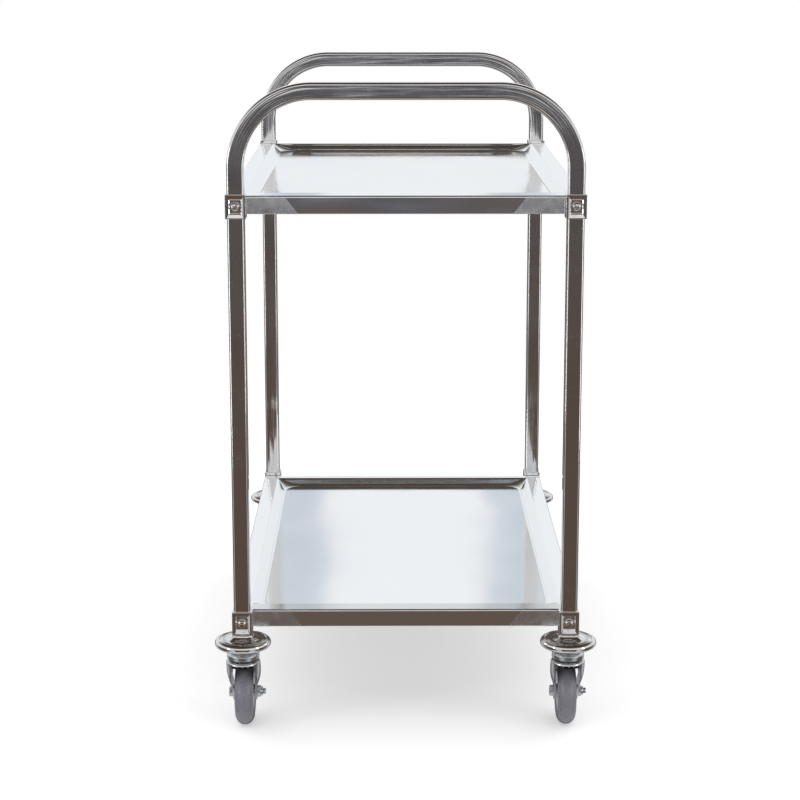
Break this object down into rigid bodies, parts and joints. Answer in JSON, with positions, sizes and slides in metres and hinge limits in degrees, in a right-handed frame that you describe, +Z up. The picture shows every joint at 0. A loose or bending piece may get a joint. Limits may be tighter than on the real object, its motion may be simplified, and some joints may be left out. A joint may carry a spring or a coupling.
{
  "type": "service trolley",
  "caption": "Tiered stainless service trolley: bent square-tube hoops as posts and push bars, rimmed trays, corner brackets, round foot bumpers and swivel casters.",
  "frame": {"origin": "on the floor under the middle of the trolley", "axes": "+Z up, +Y along the trays from the front hoop to the rear hoop, +X across"},
  "size_m": [0.625, 1.015, 1.062],
  "materials": {
    "stainless_tube": "mirror polished",
    "stainless_sheet": "polished, softly reflecting",
    "chrome_fitting": "polished chrome plate",
    "steel_screw": "bright",
    "plug_steel": "plain",
    "caster_plate": "bright zinc plate",
    "race_steel": "dark greased",
    "ball_steel": "ground bearing balls",
    "axle_steel": "zinc plate",
    "hub_plastic": "moulded light grey",
    "grey_rubber": "satin grey rubber"
  },
  "bodies": {
    "frame": {"front_hoop": "stainless_tube", "rear_hoop": "stainless_tube", "upper_tray": "stainless_sheet", "lower_tray": "stainless_sheet", "upper_tray_stiffeners": "stainless_sheet", "lower_tray_stiffeners": "stainless_sheet", "tray_screws": "steel_screw", "tray_nuts": "steel_screw", "post_plugs": "plug_steel", "upper_bracket_front_left": "chrome_fitting", "upper_bracket_front_right": "chrome_fitting", "upper_bracket_rear_left": "chrome_fitting", "upper_bracket_rear_right": "chrome_fitting", "lower_bracket_front_left": "chrome_fitting", "lower_bracket_front_right": "chrome_fitting", "lower_bracket_rear_left": "chrome_fitting", "lower_bracket_rear_right": "chrome_fitting", "bumper_front_left": "chrome_fitting", "caster_head_front_left": "caster_plate", "lower_race_front_left": "race_steel", "race_balls_front_left": "ball_steel", "bumper_front_right": "chrome_fitting", "caster_head_front_right": "caster_plate", "lower_race_front_right": "race_steel", "race_balls_front_right": "ball_steel", "bumper_rear_left": "chrome_fitting", "caster_head_rear_left": "caster_plate", "lower_race_rear_left": "race_steel", "race_balls_rear_left": "ball_steel", "bumper_rear_right": "chrome_fitting", "caster_head_rear_right": "caster_plate", "lower_race_rear_right": "race_steel", "race_balls_rear_right": "ball_steel"},
    "fork_front_left": {"fork_front_left": "caster_plate", "axle_sleeve_front_left": "axle_steel", "axle_bolt_front_left": "axle_steel", "axle_nut_front_left": "axle_steel"},
    "wheel_front_left": {"wheel_hub_front_left": "hub_plastic", "tyre_front_left": "grey_rubber"},
    "fork_front_right": {"fork_front_right": "caster_plate", "axle_sleeve_front_right": "axle_steel", "axle_bolt_front_right": "axle_steel", "axle_nut_front_right": "axle_steel"},
    "wheel_front_right": {"wheel_hub_front_right": "hub_plastic", "tyre_front_right": "grey_rubber"},
    "fork_rear_left": {"fork_rear_left": "caster_plate", "axle_sleeve_rear_left": "axle_steel", "axle_bolt_rear_left": "axle_steel", "axle_nut_rear_left": "axle_steel"},
    "wheel_rear_left": {"wheel_hub_rear_left": "hub_plastic", "tyre_rear_left": "grey_rubber"},
    "fork_rear_right": {"fork_rear_right": "caster_plate", "axle_sleeve_rear_right": "axle_steel", "axle_bolt_rear_right": "axle_steel", "axle_nut_rear_right": "axle_steel"},
    "wheel_rear_right": {"wheel_hub_rear_right": "hub_plastic", "tyre_rear_right": "grey_rubber"}
  },
  "joints": [
    {"name": "swivel_front_left", "type": "hinge", "parent": "frame", "child": "fork_front_left", "pos_m": [-0.2665, -0.4615, 0.1225], "axis": [0, 0, 1], "continuous": true},
    {"name": "roll_front_left", "type": "hinge", "parent": "fork_front_left", "child": "wheel_front_left", "pos_m": [-0.2665, -0.4255, 0.055], "axis": [1, 0, 0], "continuous": true},
    {"name": "swivel_front_right", "type": "hinge", "parent": "frame", "child": "fork_front_right", "pos_m": [0.2665, -0.4615, 0.1225], "axis": [0, 0, 1], "continuous": true},
    {"name": "roll_front_right", "type": "hinge", "parent": "fork_front_right", "child": "wheel_front_right", "pos_m": [0.2665, -0.4255, 0.055], "axis": [1, 0, 0], "continuous": true},
    {"name": "swivel_rear_left", "type": "hinge", "parent": "frame", "child": "fork_rear_left", "pos_m": [-0.2665, 0.4615, 0.1225], "axis": [0, 0, 1], "continuous": true},
    {"name": "roll_rear_left", "type": "hinge", "parent": "fork_rear_left", "child": "wheel_rear_left", "pos_m": [-0.2665, 0.4255, 0.055], "axis": [1, 0, 0], "continuous": true},
    {"name": "swivel_rear_right", "type": "hinge", "parent": "frame", "child": "fork_rear_right", "pos_m": [0.2665, 0.4615, 0.1225], "axis": [0, 0, 1], "continuous": true},
    {"name": "roll_rear_right", "type": "hinge", "parent": "fork_rear_right", "child": "wheel_rear_right", "pos_m": [0.2665, 0.4255, 0.055], "axis": [1, 0, 0], "continuous": true}
  ]
}
